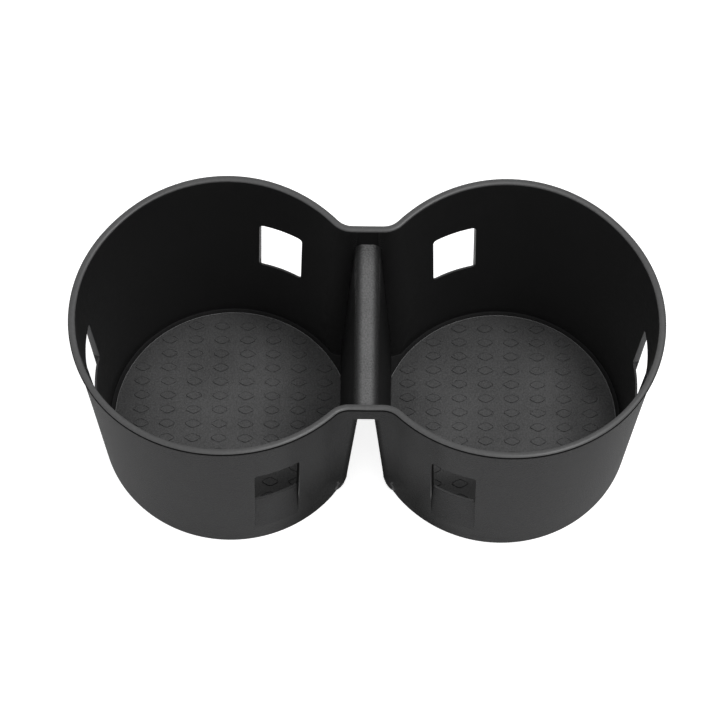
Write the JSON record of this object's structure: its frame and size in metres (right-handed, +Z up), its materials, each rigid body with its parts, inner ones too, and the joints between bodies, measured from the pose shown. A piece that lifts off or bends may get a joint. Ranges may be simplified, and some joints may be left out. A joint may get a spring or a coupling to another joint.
{
  "type": "console cup holder insert",
  "caption": "Twin round cup holder insert with tapered open walls, windows in the walls, a hollow ridge between the cups and a beaded rim around both.",
  "frame": {"origin": "middle of the two feet, on the plane the insert stands on", "axes": "+X along the row of cups, +Y from front to back across the cups, +Z up out of the cups"},
  "size_m": [0.1718, 0.09, 0.0744],
  "materials": {
    "soft_plastic": "matt black with a fine moulded grain"
  },
  "bodies": {
    "root": {"cup_insert": "soft_plastic"}
  },
  "joints": []
}
